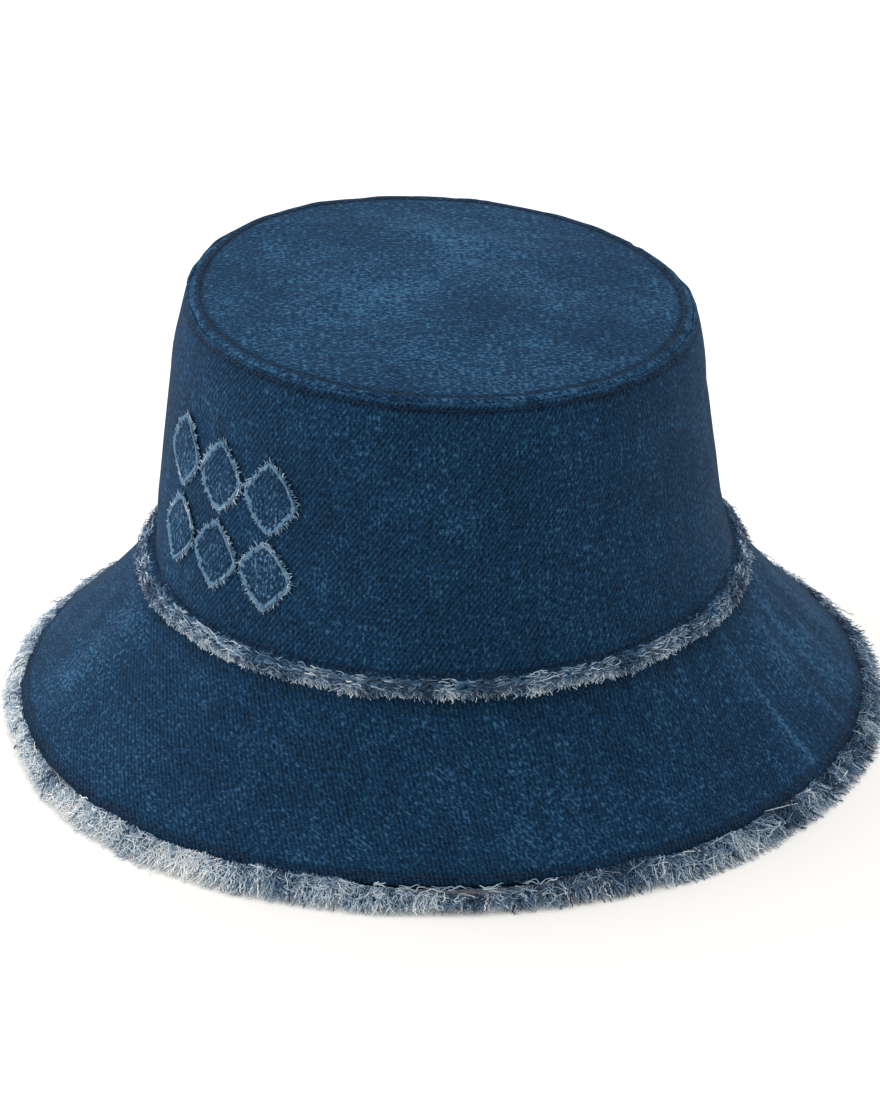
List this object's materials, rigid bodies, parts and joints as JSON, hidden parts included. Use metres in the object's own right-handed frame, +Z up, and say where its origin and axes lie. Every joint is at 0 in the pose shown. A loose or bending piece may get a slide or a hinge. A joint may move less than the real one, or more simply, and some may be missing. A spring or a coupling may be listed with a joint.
{
  "type": "bucket hat",
  "caption": "Unisex denim bucket hat with a flat domed tip, tapered crown, sloping flared brim, raw frayed edges and raw-edge front patches.",
  "frame": {"origin": "on the floor under the middle of the hat as it stands on its brim", "axes": "+Z up out of the crown's tip, -Y towards the front, where the patches are, +X towards the wearer's left"},
  "size_m": [0.2852, 0.2882, 0.1468],
  "materials": {
    "denim_shell": "indigo cotton denim twill, washed, pale weft slubs showing through, wall and brim darker than the tip",
    "denim_fray": "loose white and pale-blue warp and weft yarn ends, matt",
    "denim_patch": "slightly paler indigo denim with a fuzzy pale raw edge",
    "navy_thread": "polyester core-spun sewing thread, navy, low sheen",
    "lining_thread": "cotton sewing thread, pale grey-blue, low sheen",
    "cotton_lining": "plain-weave cotton lining, dark blue, matt",
    "twill_sweatband": "herringbone cotton twill tape, dark blue, matt",
    "woven_interlining": "fusible woven interlining, natural white, matt",
    "label_cloth": "woven satin label tape, off-white, blank"
  },
  "bodies": {
    "root": {"brim_back_topstitch_left": "navy_thread", "brim_back_topstitch_right": "navy_thread", "brim_edge_fray_top": "denim_fray", "brim_edge_fray_under": "denim_fray", "brim_edge_stay_stitch": "navy_thread", "brim_inner_fray": "denim_fray", "brim_interlining": "woven_interlining", "brim_top_ply": "denim_shell", "brim_under_ply": "denim_shell", "care_label": "label_cloth", "crown_back_topstitch_left": "navy_thread", "crown_back_topstitch_right": "navy_thread", "crown_brim_seam_stitch": "navy_thread", "crown_hem_fray": "denim_fray", "crown_side_band": "denim_shell", "crown_tip": "denim_shell", "patch_1": "denim_patch", "patch_2": "denim_patch", "patch_3": "denim_patch", "patch_4": "denim_patch", "patch_5": "denim_patch", "patch_6": "denim_patch", "side_lining": "cotton_lining", "sweatband": "twill_sweatband", "sweatband_stitch": "lining_thread", "tip_lining": "cotton_lining", "tip_topstitch_lower": "navy_thread", "tip_topstitch_upper": "navy_thread", "woven_label": "label_cloth"}
  },
  "joints": []
}
